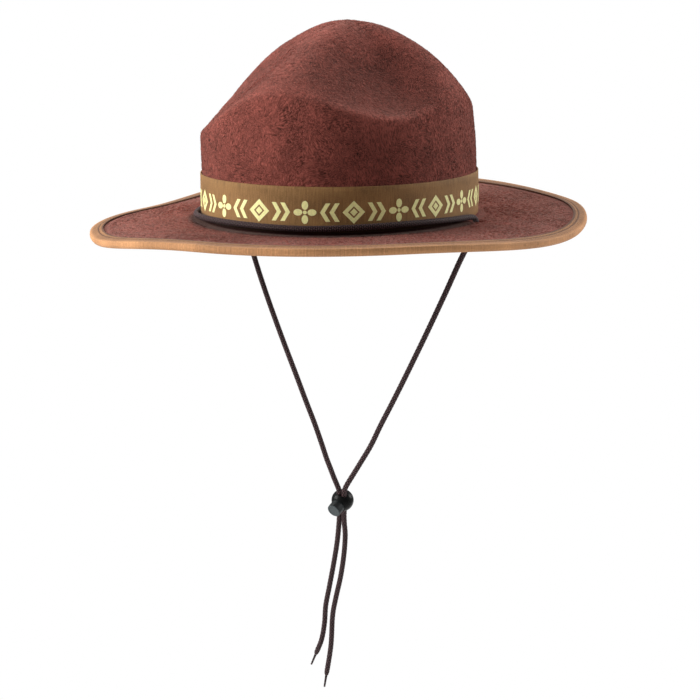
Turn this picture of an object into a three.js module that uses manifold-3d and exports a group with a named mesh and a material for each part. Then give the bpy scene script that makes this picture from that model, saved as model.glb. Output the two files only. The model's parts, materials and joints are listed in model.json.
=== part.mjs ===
// Felt campaign hat: a tall crown with four pinches, a wide brim bound with ribbon,
// a ribbon band round the crown and a chin cord with a ball-shaped cord lock.
// Units are millimetres. +Z is up, the front of the hat looks along -Y, and the origin
// lies in the middle of the head opening, level with the underside of the brim.
// An azimuth is measured from the front of the hat towards +X.

import * as THREE from 'three';
import { mergeVertices } from 'three/addons/utils/BufferGeometryUtils.js';
import Module from 'manifold-3d';

const wasm = await Module();
wasm.setup();

// Felt
const headLength = 189.8;
const headWidth = 163;
const feltWall = 2.2;
const crownHeight = 122;
const brimWidth = 70.5;
const breakRadius = 2.6;
const peakLean = 5;

// How late the wall of the crown turns in on its way up
const wallCurve = 2.2;

// Ribbons
const bandWidth = 27;
const bandThickness = 0.8;
const bindingWidth = 8;
const bindingThickness = 0.8;
const ribbonGap = 0.3;

// Turned edge of the brim
const turnWidth = 11;
const turnDrop = 1.8;

// Chin cord and its holes
const cordDiameter = 3.3;
const cordSides = 8;
const cordTipLength = 9;
const cordTipDiameter = 1.5;
const cordTipTaper = 0.6;
const cordClearance = 0.3;
const cordHoleDiameter = 5.6;
const cordHoleOut = 5.3;
const cordHoleBack = 14.6;

// Cord lock
const lockDiameter = 15;
const lockTilt = 24.9;
const lockRoll = 15.5;
const lockTurn = -4.7;
const plungerDiameter = 9.4;
const plungerReach = 11.8;
const plungerTravel = 2;
const plungerEndBar = 1.25;
const plungerEdge = 0.7;
const slideClearance = 0.3;
const strandSpacing = 3.7;
const strandOffset = 1;
const lockPlace = { x: -6.9, y: 15, z: -194.1 };

// Fineness of the felt and the ribbons, and of the small round parts
const segments = 72;
const bindingRings = 3;
const bandRings = 3;
const holeSides = 16;
const roundSides = 32;
const ballSides = 24;
const ballRows = 14;
const cornerSteps = 5;

// A cutter is this many times as long as what it cuts through.
const cutterLength = 3;

// Middle point of a quarter round: its distance from both sides, as a share of the radius
const roundMiddle = 1 - Math.SQRT1_2;

const halfWall = feltWall / 2;
const halfLength = headLength / 2 + halfWall;
const halfWidth = headWidth / 2 + halfWall;

// Pinches and ridges round the crown. rim is the height where the wall turns in, as a
// share of the crown height, out is the radius there as a share of the base, pinch is 1
// in the middle of a pinch and hollow is how far it dips, as a share of its climb.
const folds = [
  { azimuth: 2, rim: 0.66, out: 0.91, pinch: 0.42, hollow: 0.06 },
  { azimuth: 59, rim: 0.545, out: 0.965, pinch: 1, hollow: 0.14 },
  { azimuth: 100, rim: 0.65, out: 0.895, pinch: 0, hollow: 0 },
  { azimuth: 138, rim: 0.55, out: 0.96, pinch: 1, hollow: 0.05 },
  { azimuth: 180, rim: 0.65, out: 0.89, pinch: 0, hollow: 0 },
  { azimuth: 222, rim: 0.55, out: 0.96, pinch: 1, hollow: 0.05 },
  { azimuth: 262, rim: 0.67, out: 0.89, pinch: 0, hollow: 0 },
  { azimuth: 301, rim: 0.44, out: 1.02, pinch: 1, hollow: 0.02 },
];

// Top of the crown, from the rim to the peak: the radius as a share of the rim's, and
// how much of the climb from the rim is done, on a ridge and in a pinch.
const topRows = [
  { radius: 1, ridge: 0, pinch: 0 },
  { radius: 0.95, ridge: 0.14, pinch: 0.05 },
  { radius: 0.86, ridge: 0.325, pinch: 0.155 },
  { radius: 0.75, ridge: 0.5, pinch: 0.3 },
  { radius: 0.63, ridge: 0.645, pinch: 0.455 },
  { radius: 0.5, ridge: 0.765, pinch: 0.61 },
  { radius: 0.36, ridge: 0.875, pinch: 0.79 },
  { radius: 0.2, ridge: 0.96, pinch: 0.935 },
];

// Rows of the crown's wall above the band: how much of the way from the band to the rim.
const wallRows = [0.42, 0.84];

// Rows of the brim inside its turned edge: the distance from the crown, as a share of the
// brim width.
const brimRows = [0.805, 0.43];

// Warp of the brim: how far its edge rises round the hat, as a share of the brim width,
// and how much of the edge's turn there is, as a share of the turn's drop.
const brimWarp = [
  { azimuth: 0, rise: 0.05, turn: 1 },
  { azimuth: 45, rise: 0.06, turn: 1 },
  { azimuth: 90, rise: -0.02, turn: 1 },
  { azimuth: 135, rise: 0.06, turn: 0.8 },
  { azimuth: 180, rise: 0.1, turn: 0.3 },
  { azimuth: 225, rise: 0.085, turn: -0.5 },
  { azimuth: 270, rise: -0.12, turn: -0.5 },
  { azimuth: 315, rise: -0.095, turn: 0.6 },
];

// Route of the cord over the brim, from the hole on the -X side round the front.
const frontRoute = [
  [-87.9, 14.9, 1.4], [-87.8, 13.4, 3.4], [-87.6, 10.4, 4.9], [-87.4, 4.5, 5.2],
  [-86.8, -10.5, 4.9], [-84.6, -25.1, 4.7], [-80.6, -39, 4.6], [-74.9, -52.3, 4.7],
  [-67.4, -64.4, 5.1], [-58.6, -75, 5.7], [-48.5, -84, 6.4], [-37.2, -91.2, 6.9],
  [-25.3, -96.4, 7.1], [-12.7, -99.6, 7.2], [0, -100.6, 7.1], [12.7, -99.6, 6.9],
  [25.3, -96.4, 6.8], [37.2, -91.2, 6.9], [48.5, -84, 7.2], [58.6, -75, 7.5],
  [67.4, -64.4, 7.7], [74.9, -52.3, 7.8], [80.6, -39, 7.6], [84.6, -25.1, 7.1],
  [86.8, -10.5, 6.4], [87.4, 4.5, 5.6], [87.6, 10.4, 4.9], [87.8, 13.4, 3.4],
  [87.9, 14.9, 1.4],
];

// Routes of the two hanging strands, from the holes in the brim through the lock.
const leftRoute = [
  [-87.9, 15.4, 0.3], [-87.7, 15.5, -1.8], [-87, 15.4, -4.6], [-84, 15.3, -12],
  [-78.2, 15.2, -27], [-71.6, 15.1, -45], [-64.8, 15, -62], [-57.6, 15, -79],
  [-50.2, 15, -95.8], [-42.7, 15, -112.4], [-35.2, 14.8, -129], [-27.9, 14, -143.7],
  [-21.6, 12.8, -157], [-17.5, 11.7, -165.5], [-13.8, 10.7, -172], [-10.9, 10, -177.3],
  [-8.7, 9.7, -181.2], [-7.3, 10, -184.6], [-7.13, 11, -187.9], [-10.74, 17.65, -201.5],
  [-11.8, 19.3, -206], [-12.4, 20, -212], [-13.8, 20, -226], [-16.6, 20, -242.6],
  [-19.9, 20, -259.5], [-22.8, 20, -274], [-23.8, 20, -287], [-26.2, 20, -300],
  [-30.9, 20, -311.7],
];
const rightRoute = [
  [87.9, 15.4, 0.3], [87.7, 15.5, -1.8], [86.9, 15.4, -4.4], [83.6, 15.3, -11],
  [76.6, 15.2, -25], [68.9, 15.1, -42], [61.2, 15, -58.6], [53.3, 15, -75.2],
  [45.3, 15, -91.6], [37.2, 15, -108], [29.6, 15, -123], [21.9, 14.7, -138],
  [15.2, 13.7, -152.5], [8.2, 11.6, -165.5], [4.6, 10.5, -172], [1.2, 9.7, -178],
  [-1.1, 9.5, -182], [-2.6, 10, -185.4], [-3.55, 11.2, -188.9], [-7.16, 17.8, -202.4],
  [-8.1, 19.2, -206.4], [-8.3, 20, -212], [-7.8, 20.4, -221], [-8.8, 20.4, -235],
  [-11.3, 20.4, -251], [-15, 20.4, -267], [-17.6, 20.4, -281], [-18.9, 20.4, -303],
  [-22.6, 20.4, -325.8],
];

const felt = { color: '#6d3a33', roughness: 0.95, metalness: 0 };
const bandRibbon = { color: '#7b5c3f', roughness: 0.7, metalness: 0 };
const bindingRibbon = { color: '#b08561', roughness: 0.7, metalness: 0 };
const braid = { color: '#3c2d30', roughness: 0.8, metalness: 0 };
const blackPlastic = { color: '#1a1b1a', roughness: 0.35, metalness: 0 };
const greyPlastic = { color: '#4f5658', roughness: 0.45, metalness: 0 };

const hat = new THREE.Group();

function addMesh(name, geometry, finish) {
  const mesh = new THREE.Mesh(geometry, new THREE.MeshStandardMaterial(finish));
  mesh.name = name;
  hat.add(mesh);
}

function ease(share) {
  return (1 - Math.cos(Math.PI * share)) / 2;
}

// Reads one column of a table whose rows go round the hat.
function aroundHat(table, azimuth, column) {
  const after = table.find((row) => row.azimuth > azimuth) ?? table[0];
  const before = table[(table.indexOf(after) + table.length - 1) % table.length];
  const span = (after.azimuth - before.azimuth + 360) % 360;
  const travelled = (azimuth - before.azimuth + 360) % 360;
  return before[column] + (after[column] - before[column]) * ease(travelled / span);
}

function ovalPoint(azimuth, scale, grow, z) {
  const angle = THREE.MathUtils.degToRad(azimuth);
  return new THREE.Vector3(
    (halfWidth * scale + grow) * Math.sin(angle),
    -(halfLength * scale + grow) * Math.cos(angle),
    z,
  );
}

// Middle of the felt's thickness on the brim, at a distance out from the crown.
function brimPoint(azimuth, out) {
  const reach = Math.max(out - breakRadius, 0) / (brimWidth - breakRadius);
  const rise = aroundHat(brimWarp, azimuth, 'rise') * brimWidth * reach * reach;
  const turned = Math.max(out - (brimWidth - turnWidth), 0) / turnWidth;
  const drop = aroundHat(brimWarp, azimuth, 'turn') * turnDrop * turned * turned;
  return ovalPoint(azimuth, 1, out, halfWall + rise - drop);
}

// Middle of the felt's thickness on the crown, at a height above the brim.
function crownPoint(azimuth, scale, height) {
  const point = ovalPoint(azimuth, scale, 0, halfWall + height);
  const share = height / crownHeight;
  point.x += peakLean * share * share;
  return point;
}

function wallPoint(azimuth, height) {
  const rim = aroundHat(folds, azimuth, 'rim') * crownHeight;
  const inward = 1 - aroundHat(folds, azimuth, 'out');
  const climb = Math.max(height - breakRadius, 0) / (rim - breakRadius);
  return crownPoint(azimuth, 1 - inward * climb ** wallCurve, height);
}

function topPoint(azimuth, row) {
  const rim = aroundHat(folds, azimuth, 'rim');
  const pinch = Math.sin((Math.PI / 2) * aroundHat(folds, azimuth, 'pinch'));
  const hollow = aroundHat(folds, azimuth, 'hollow') * 4 * row.pinch * (1 - row.pinch);
  const climb = row.ridge + (row.pinch - hollow - row.ridge) * pinch;
  const scale = aroundHat(folds, azimuth, 'out') * row.radius;
  return crownPoint(azimuth, scale, (rim + (1 - rim) * climb) * crownHeight);
}

function ring(place) {
  return Array.from({ length: segments }, (_, index) => place((index * 360) / segments));
}

// Rings of the felt's middle surface, from the edge of the brim to the peak.
const feltRings = [];
for (let index = 0; index < bindingRings; index += 1) {
  const out = brimWidth - (bindingWidth * index) / (bindingRings - 1);
  feltRings.push(ring((azimuth) => brimPoint(azimuth, out)));
}
for (const share of brimRows) {
  feltRings.push(ring((azimuth) => brimPoint(azimuth, brimWidth * share)));
}
feltRings.push(ring((azimuth) => brimPoint(azimuth, breakRadius)));
const breakMiddle = breakRadius * roundMiddle;
feltRings.push(ring((azimuth) => ovalPoint(azimuth, 1, breakMiddle, halfWall + breakMiddle)));
const firstBandRing = feltRings.length;
for (let index = 0; index < bandRings; index += 1) {
  const height = breakRadius + (bandWidth * index) / (bandRings - 1);
  feltRings.push(ring((azimuth) => wallPoint(azimuth, height)));
}
for (const share of wallRows) {
  const bandTop = breakRadius + bandWidth;
  feltRings.push(
    ring((azimuth) => {
      const rim = aroundHat(folds, azimuth, 'rim') * crownHeight;
      return wallPoint(azimuth, bandTop + (rim - bandTop) * share);
    }),
  );
}
for (const row of topRows) {
  feltRings.push(ring((azimuth) => topPoint(azimuth, row)));
}
const peak = crownPoint(0, 0, crownHeight);

// Direction out of the felt at each point of its middle surface, up on the brim.
function surfaceNormals(rings, tip) {
  return rings.map((points, level) =>
    points.map((point, index) => {
      const behind = points[(index + segments - 1) % segments];
      const ahead = points[(index + 1) % segments];
      const below = level > 0 ? rings[level - 1][index] : point;
      const above = level < rings.length - 1 ? rings[level + 1][index] : tip;
      const along = ahead.clone().sub(behind);
      return along.cross(above.clone().sub(below)).normalize();
    }),
  );
}

const feltNormals = surfaceNormals(feltRings, peak);

function liftedRing(level, lift) {
  return feltRings[level].map((point, index) =>
    point.clone().addScaledVector(feltNormals[level][index], lift),
  );
}

// Closed skin over a list of rings. Two tips close it like a bag, and without tips the
// last ring joins the first.
function skin(rings, firstTip, lastTip) {
  const positions = rings.flat().flatMap((point) => point.toArray());
  const faces = [];
  const closed = firstTip === undefined;
  const bands = closed ? rings.length : rings.length - 1;
  for (let level = 0; level < bands; level += 1) {
    const upper = (level + 1) % rings.length;
    for (let index = 0; index < segments; index += 1) {
      const next = (index + 1) % segments;
      const a = level * segments + index;
      const b = level * segments + next;
      const c = upper * segments + next;
      const d = upper * segments + index;
      faces.push(a, b, c, a, c, d);
    }
  }
  if (!closed) {
    const first = positions.length / 3;
    positions.push(...firstTip.toArray(), ...lastTip.toArray());
    const lastLevel = (rings.length - 1) * segments;
    for (let index = 0; index < segments; index += 1) {
      const next = (index + 1) % segments;
      faces.push(first, next, index, first + 1, lastLevel + index, lastLevel + next);
    }
  }
  const geometry = new THREE.BufferGeometry();
  geometry.setAttribute('position', new THREE.Float32BufferAttribute(positions, 3));
  geometry.setIndex(faces);
  return geometry;
}

function toSolid(geometry) {
  const bare = geometry.clone();
  bare.deleteAttribute('normal');
  bare.deleteAttribute('uv');
  const merged = mergeVertices(bare, 1e-5);
  return new wasm.Manifold(
    new wasm.Mesh({
      numProp: 3,
      vertProperties: new Float32Array(merged.attributes.position.array),
      triVerts: new Uint32Array(merged.index.array),
    }),
  );
}

function toGeometry(solid) {
  const mesh = solid.getMesh();
  const geometry = new THREE.BufferGeometry();
  geometry.setAttribute('position', new THREE.BufferAttribute(mesh.vertProperties, 3));
  geometry.setIndex(new THREE.BufferAttribute(mesh.triVerts, 1));
  return geometry;
}

function subtractAll(geometry, cutters) {
  let solid = toSolid(geometry);
  for (const cutter of cutters) {
    solid = solid.subtract(toSolid(cutter));
  }
  return toGeometry(solid);
}

// Felt body: crown and brim in one, with a hole on each side for the cord.
function feltGeometry() {
  const levels = feltRings.map((_, level) => level);
  const inside = levels.map((level) => liftedRing(level, -halfWall)).reverse();
  const outside = levels.map((level) => liftedRing(level, halfWall));
  const innerTip = peak.clone().setZ(peak.z - halfWall);
  const outerTip = peak.clone().setZ(peak.z + halfWall);
  const body = skin([...inside, ...outside], innerTip, outerTip);
  const holes = [-1, 1].map((side) => {
    const radius = cordHoleDiameter / 2;
    const hole = new THREE.CylinderGeometry(radius, radius, feltWall * cutterLength, holeSides);
    hole.rotateX(Math.PI / 2);
    hole.translate(side * (halfWidth + cordHoleOut), cordHoleBack, halfWall);
    return hole;
  });
  return subtractAll(body, holes);
}

// Ribbon folded over the edge of the brim.
function bindingGeometry() {
  const near = halfWall + ribbonGap;
  const far = near + bindingThickness;
  const levels = Array.from({ length: bindingRings }, (_, level) => level);
  const pastEdge = (reach) =>
    feltRings[0].map((point, index) => {
      const outward = point.clone().sub(feltRings[1][index]).normalize();
      return point.clone().addScaledVector(outward, reach);
    });
  const rings = [
    ...levels.map((level) => liftedRing(level, near)).reverse(),
    pastEdge(ribbonGap),
    ...levels.map((level) => liftedRing(level, -near)),
    ...levels.map((level) => liftedRing(level, -far)).reverse(),
    pastEdge(ribbonGap + bindingThickness),
    ...levels.map((level) => liftedRing(level, far)),
  ];
  return skin(rings);
}

// Ribbon band round the foot of the crown.
function bandGeometry() {
  const near = halfWall + ribbonGap;
  const far = near + bandThickness;
  const levels = Array.from({ length: bandRings }, (_, index) => firstBandRing + index);
  const rings = [
    ...levels.map((level) => liftedRing(level, far)),
    ...levels.map((level) => liftedRing(level, near)).reverse(),
  ];
  return skin(rings);
}

// A curve whose steps fall on its own points.
class Route extends THREE.CatmullRomCurve3 {
  getUtoTmapping(share) {
    return share;
  }
}

function cordSection() {
  const section = new THREE.Shape();
  for (let side = 0; side < cordSides; side += 1) {
    const angle = (side * 2 * Math.PI) / cordSides;
    const x = (cordDiameter / 2) * Math.cos(angle);
    const y = (cordDiameter / 2) * Math.sin(angle);
    if (side === 0) {
      section.moveTo(x, y);
    } else {
      section.lineTo(x, y);
    }
  }
  section.closePath();
  return section;
}

function cordGeometry(points) {
  const path = new Route(points.map((point) => new THREE.Vector3(...point)));
  return new THREE.ExtrudeGeometry(cordSection(), { steps: points.length - 1, extrudePath: path });
}

// Hanging strand with its thin sealed end.
function strandGeometry(points) {
  const end = new THREE.Vector3(...points[points.length - 1]);
  const before = new THREE.Vector3(...points[points.length - 2]);
  const direction = end.clone().sub(before).normalize();
  const root = cordTipDiameter / 2;
  const tip = new THREE.CylinderGeometry(root * cordTipTaper, root, cordTipLength * 2, cordSides);
  tip.applyQuaternion(
    new THREE.Quaternion().setFromUnitVectors(new THREE.Vector3(0, 1, 0), direction),
  );
  tip.translate(end.x, end.y, end.z);
  return toGeometry(toSolid(cordGeometry(points)).add(toSolid(tip)));
}

// Lock parts are drawn with the plunger along +Y and the strands along +Z, then turned
// so that the plunger looks forward and down.
function placeLockPart(geometry) {
  geometry.rotateZ(Math.PI);
  geometry.rotateY(THREE.MathUtils.degToRad(lockRoll));
  geometry.rotateX(THREE.MathUtils.degToRad(lockTilt));
  geometry.rotateZ(THREE.MathUtils.degToRad(lockTurn));
  geometry.translate(lockPlace.x, lockPlace.y, lockPlace.z);
  return geometry;
}

// Round-cornered bar along the strands: it stays clear of both of them.
function strandPassage(fromY, toY, length) {
  const halfAcross = strandSpacing / 2 + cordDiameter / 2 + cordClearance;
  const corner = cordDiameter / 2 + cordClearance;
  const shape = new THREE.Shape();
  shape.moveTo(-halfAcross + corner, fromY);
  shape.lineTo(halfAcross - corner, fromY);
  shape.absarc(halfAcross - corner, fromY + corner, corner, -Math.PI / 2, 0, false);
  shape.absarc(halfAcross - corner, toY - corner, corner, 0, Math.PI / 2, false);
  shape.absarc(-halfAcross + corner, toY - corner, corner, Math.PI / 2, Math.PI, false);
  shape.absarc(-halfAcross + corner, fromY + corner, corner, Math.PI, Math.PI * 1.5, false);
  const bar = new THREE.ExtrudeGeometry(shape, {
    depth: length,
    bevelEnabled: false,
    curveSegments: cornerSteps,
  });
  bar.translate(0, 0, -length / 2);
  return bar;
}

const strandHalf = cordDiameter / 2 + cordClearance;
const slotInner = strandOffset - strandHalf;
const slotOuter = strandOffset + strandHalf + plungerTravel;
const plungerEnd = slotInner - plungerEndBar;

function lockBallGeometry() {
  const ball = new THREE.SphereGeometry(lockDiameter / 2, ballSides, ballRows);
  const boreEnd = plungerEnd - plungerTravel - slideClearance;
  const boreLength = lockDiameter / 2 - boreEnd;
  const boreRadius = plungerDiameter / 2 + slideClearance;
  const bore = new THREE.CylinderGeometry(boreRadius, boreRadius, boreLength, roundSides);
  bore.translate(0, boreEnd + boreLength / 2, 0);
  const passage = strandPassage(slotInner, strandOffset + strandHalf, lockDiameter * cutterLength);
  return placeLockPart(subtractAll(ball, [bore, passage]));
}

function plungerGeometry() {
  const radius = plungerDiameter / 2;
  const profile = [
    new THREE.Vector2(0, plungerEnd),
    new THREE.Vector2(radius, plungerEnd),
    new THREE.Vector2(radius, plungerReach - plungerEdge),
    new THREE.Vector2(radius - plungerEdge * roundMiddle, plungerReach - plungerEdge * roundMiddle),
    new THREE.Vector2(radius - plungerEdge, plungerReach),
    new THREE.Vector2(0, plungerReach),
  ];
  const pin = new THREE.LatheGeometry(profile, roundSides);
  const slot = strandPassage(slotInner, slotOuter, plungerDiameter * cutterLength);
  return placeLockPart(subtractAll(pin, [slot]));
}

addMesh('felt_body', feltGeometry(), felt);
addMesh('brim_binding', bindingGeometry(), bindingRibbon);
addMesh('hat_band', bandGeometry(), bandRibbon);
addMesh('chin_cord_front', cordGeometry(frontRoute), braid);
addMesh('chin_cord_left', strandGeometry(leftRoute), braid);
addMesh('chin_cord_right', strandGeometry(rightRoute), braid);
addMesh('lock_ball', lockBallGeometry(), blackPlastic);
addMesh('lock_plunger', plungerGeometry(), greyPlastic);

export default hat;
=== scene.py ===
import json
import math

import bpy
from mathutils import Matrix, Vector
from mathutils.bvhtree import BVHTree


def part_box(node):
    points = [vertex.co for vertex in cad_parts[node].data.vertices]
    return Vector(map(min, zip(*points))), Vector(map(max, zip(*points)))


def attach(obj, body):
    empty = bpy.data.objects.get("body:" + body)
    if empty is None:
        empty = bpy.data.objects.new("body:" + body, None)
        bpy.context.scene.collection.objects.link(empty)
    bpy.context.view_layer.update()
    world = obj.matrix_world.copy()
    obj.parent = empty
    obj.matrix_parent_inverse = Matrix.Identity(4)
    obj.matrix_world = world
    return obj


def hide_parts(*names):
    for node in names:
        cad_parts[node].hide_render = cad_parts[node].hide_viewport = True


bl_info = {
    "name": "Campaign hat",
    "version": (1, 0, 0),
    "blender": (4, 5, 0),
    "location": "View3D > Sidebar > Hat",
    "description": "Felt, ribbons, braided chin cord and cord lock of a campaign hat",
    "category": "Object",
}

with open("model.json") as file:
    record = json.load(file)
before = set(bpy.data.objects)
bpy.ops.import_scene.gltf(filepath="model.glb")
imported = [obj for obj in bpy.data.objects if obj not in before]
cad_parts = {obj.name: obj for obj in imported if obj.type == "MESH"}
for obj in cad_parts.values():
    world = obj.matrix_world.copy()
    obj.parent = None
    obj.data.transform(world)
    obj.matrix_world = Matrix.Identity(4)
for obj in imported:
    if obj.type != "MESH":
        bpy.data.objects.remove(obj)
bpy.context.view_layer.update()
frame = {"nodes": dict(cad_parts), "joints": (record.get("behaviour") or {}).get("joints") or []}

MM = 0.001

# Routes of the chin cord, in metres: over the brim round the front of the crown, and
# the two hanging strands from the holes in the brim through the lock.
FRONT_ROUTE = [
    (-0.0879, 0.0149, 0.0014), (-0.0878, 0.0134, 0.0034), (-0.0876, 0.0104, 0.0049),
    (-0.0874, 0.0045, 0.0052), (-0.0868, -0.0105, 0.0049), (-0.0846, -0.0251, 0.0047),
    (-0.0806, -0.039, 0.0046), (-0.0749, -0.0523, 0.0047), (-0.0674, -0.0644, 0.0051),
    (-0.0586, -0.075, 0.0057), (-0.0485, -0.084, 0.0064), (-0.0372, -0.0912, 0.0069),
    (-0.0253, -0.0964, 0.0071), (-0.0127, -0.0996, 0.0072), (0, -0.1006, 0.0071),
    (0.0127, -0.0996, 0.0069), (0.0253, -0.0964, 0.0068), (0.0372, -0.0912, 0.0069),
    (0.0485, -0.084, 0.0072), (0.0586, -0.075, 0.0075), (0.0674, -0.0644, 0.0077),
    (0.0749, -0.0523, 0.0078), (0.0806, -0.039, 0.0076), (0.0846, -0.0251, 0.0071),
    (0.0868, -0.0105, 0.0064), (0.0874, 0.0045, 0.0056), (0.0876, 0.0104, 0.0049),
    (0.0878, 0.0134, 0.0034), (0.0879, 0.0149, 0.0014),
]
LEFT_ROUTE = [
    (-0.0879, 0.0154, 0.0003), (-0.0877, 0.0155, -0.0018), (-0.087, 0.0154, -0.0046),
    (-0.084, 0.0153, -0.012), (-0.0782, 0.0152, -0.027), (-0.0716, 0.0151, -0.045),
    (-0.0648, 0.015, -0.062), (-0.0576, 0.015, -0.079), (-0.0502, 0.015, -0.0958),
    (-0.0427, 0.015, -0.1124), (-0.0352, 0.0148, -0.129), (-0.0279, 0.014, -0.1437),
    (-0.0216, 0.0128, -0.157), (-0.0175, 0.0117, -0.1655), (-0.0138, 0.0107, -0.172),
    (-0.0109, 0.01, -0.1773), (-0.0087, 0.0097, -0.1812), (-0.0073, 0.01, -0.1846),
    (-0.00713, 0.011, -0.1879), (-0.01074, 0.01765, -0.2015), (-0.0118, 0.0193, -0.206),
    (-0.0124, 0.02, -0.212), (-0.0138, 0.02, -0.226), (-0.0166, 0.02, -0.2426),
    (-0.0199, 0.02, -0.2595), (-0.0228, 0.02, -0.274), (-0.0238, 0.02, -0.287),
    (-0.0262, 0.02, -0.3), (-0.0309, 0.02, -0.3117),
]
RIGHT_ROUTE = [
    (0.0879, 0.0154, 0.0003), (0.0877, 0.0155, -0.0018), (0.0869, 0.0154, -0.0044),
    (0.0836, 0.0153, -0.011), (0.0766, 0.0152, -0.025), (0.0689, 0.0151, -0.042),
    (0.0612, 0.015, -0.0586), (0.0533, 0.015, -0.0752), (0.0453, 0.015, -0.0916),
    (0.0372, 0.015, -0.108), (0.0296, 0.015, -0.123), (0.0219, 0.0147, -0.138),
    (0.0152, 0.0137, -0.1525), (0.0082, 0.0116, -0.1655), (0.0046, 0.0105, -0.172),
    (0.0012, 0.0097, -0.178), (-0.0011, 0.0095, -0.182), (-0.0026, 0.01, -0.1854),
    (-0.00355, 0.0112, -0.1889), (-0.00716, 0.0178, -0.2024), (-0.0081, 0.0192, -0.2064),
    (-0.0083, 0.02, -0.212), (-0.0078, 0.0204, -0.221), (-0.0088, 0.0204, -0.235),
    (-0.0113, 0.0204, -0.251), (-0.015, 0.0204, -0.267), (-0.0176, 0.0204, -0.281),
    (-0.0189, 0.0204, -0.303), (-0.0226, 0.0204, -0.3258),
]
STEPS_BEFORE_LOCK = 18  # the point of each strand's route at the top of the lock


def box_middle(node):
    low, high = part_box(node)
    return (Vector(low) + Vector(high)) / 2


def box_size(node):
    low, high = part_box(node)
    return Vector(high) - Vector(low)


def colour_setting(name, about, default):
    return bpy.props.FloatVectorProperty(
        name=name, description=about, subtype="COLOR", size=3, default=default)


def length_setting(name, about, default):
    return bpy.props.FloatProperty(name=name, description=about, default=default, unit="LENGTH")


class FeltSettings(bpy.types.PropertyGroup):
    """Felt of the crown and the brim"""
    colour: colour_setting("Colour", "Colour of the felt", (0.145, 0.04, 0.031))
    bloom: colour_setting("Sheen bloom", "Colour of the nap at a flat angle", (1.0, 0.68, 0.58))
    lumps: length_setting("Lumps", "Height of the soft lumps of the felt", 0.45 * MM)
    fibre_length: length_setting("Fibre length", "Length of one fibre of the nap", 3.6 * MM)
    fibre_width: length_setting("Fibre width", "Width of one fibre of the nap", 0.13 * MM)
    fibres: bpy.props.IntProperty(
        name="Fibres", description="Fibres on the crown, and as many on the brim",
        default=30000)


class RibbonSettings(bpy.types.PropertyGroup):
    """Ribbon band, its print and the bound edge"""
    band_colour: colour_setting("Band", "Colour of the ribbon band", (0.27, 0.147, 0.056))
    binding_colour: colour_setting(
        "Binding", "Colour of the ribbon round the brim", (0.28, 0.137, 0.06))
    print_colour: colour_setting("Print", "Colour of the printed border", (0.95, 0.93, 0.42))
    rib_pitch: length_setting(
        "Rib pitch", "Distance between the ribs of the ribbons", 0.75 * MM)
    print_height: length_setting("Print height", "Height of the printed motifs", 13.5 * MM)
    print_thickness: length_setting("Print thickness", "Thickness of the ink", 0.08 * MM)
    print_middle: length_setting(
        "Print middle", "Height of the middle of the printed border", 16 * MM)
    motif_pitch: length_setting(
        "Motif pitch", "Length of one repeat of the printed border", 57 * MM)
    stroke: length_setting("Stroke", "Width of the printed lines", 2.3 * MM)
    stitch_inset: length_setting(
        "Stitch inset", "Distance of the sewing from the binding's inner edge", 2.1 * MM)
    stitch_pitch: length_setting(
        "Stitch pitch", "Distance from one stitch to the next", 3.1 * MM)
    groove_depth: length_setting(
        "Groove depth", "How deep the sewing pulls the binding in", 0.32 * MM)
    groove_width: length_setting("Groove width", "Half the width of the sewn groove", 0.55 * MM)
    binding_width: length_setting(
        "Binding width", "From the brim's edge to the binding's inner edge", 8 * MM)


class CordSettings(bpy.types.PropertyGroup):
    """Braided chin cord"""
    colour: colour_setting("Colour", "Colour of the cord", (0.012, 0.0062, 0.0066))
    diameter: length_setting("Diameter", "Diameter of the cord", 3.3 * MM)
    pitch: length_setting(
        "Pitch", "Length in which a strand of the braid goes round once", 16 * MM)
    carriers: bpy.props.IntProperty(
        name="Strands", description="Strands of the braid that go round each way", default=6)
    tip_length: length_setting("Tip length", "Length of the thin sealed end", 9 * MM)
    tip_diameter: length_setting("Tip diameter", "Diameter of the thin sealed end", 1.8 * MM)


class LockSettings(bpy.types.PropertyGroup):
    """Cord lock"""
    diameter: length_setting(
        "Ball diameter", "Diameter of the lock's ball", box_size("lock_ball").z)
    plunger_diameter: length_setting("Plunger diameter", "Diameter of the plunger", 9.4 * MM)
    plunger_reach: length_setting(
        "Plunger reach", "From the ball's middle to the plunger's face", 11.8 * MM)
    clearance: length_setting(
        "Clearance", "Gap round the plunger and round the cords", 0.3 * MM)
    black: colour_setting("Ball", "Colour of the ball", (0.004, 0.0045, 0.0043))
    grey: colour_setting("Plunger", "Colour of the plunger", (0.05, 0.062, 0.066))


class StageSettings(bpy.types.PropertyGroup):
    """Camera, floor and lights"""
    camera_place: bpy.props.FloatVectorProperty(
        name="Camera", description="Place of the camera", subtype="TRANSLATION",
        size=3, default=(0.5203, -0.9212, 0.1490))
    lens: bpy.props.FloatProperty(
        name="Lens", description="Focal length on a 36 mm frame", default=85.78, unit="CAMERA")
    floor_drop: length_setting("Floor", "Height of the floor below the brim", 0.8)


# Objects and edit mode


def settings():
    return bpy.context.scene


def object_mode():
    bpy.ops.object.mode_set(mode="OBJECT")


def pick(*objects):
    bpy.ops.object.select_all(action="DESELECT")
    for piece in objects:
        piece.select_set(True)
    bpy.context.view_layer.objects.active = objects[0]


def add_mesh(name, verts, faces):
    mesh = bpy.data.meshes.new(name)
    mesh.from_pydata([tuple(v) for v in verts], [], faces)
    piece = bpy.data.objects.new(name, mesh)
    bpy.context.scene.collection.objects.link(piece)
    return piece


def added(name):
    piece = bpy.context.active_object
    piece.name = name
    piece.data.name = name
    return piece


def apply_place(piece):
    pick(piece)
    bpy.ops.object.transform_apply(location=True, rotation=True, scale=True)


def add_modifier(piece, name, kind, **values):
    modifier = piece.modifiers.new(name, kind)
    for key, value in values.items():
        setattr(modifier, key, value)
    return modifier


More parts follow.
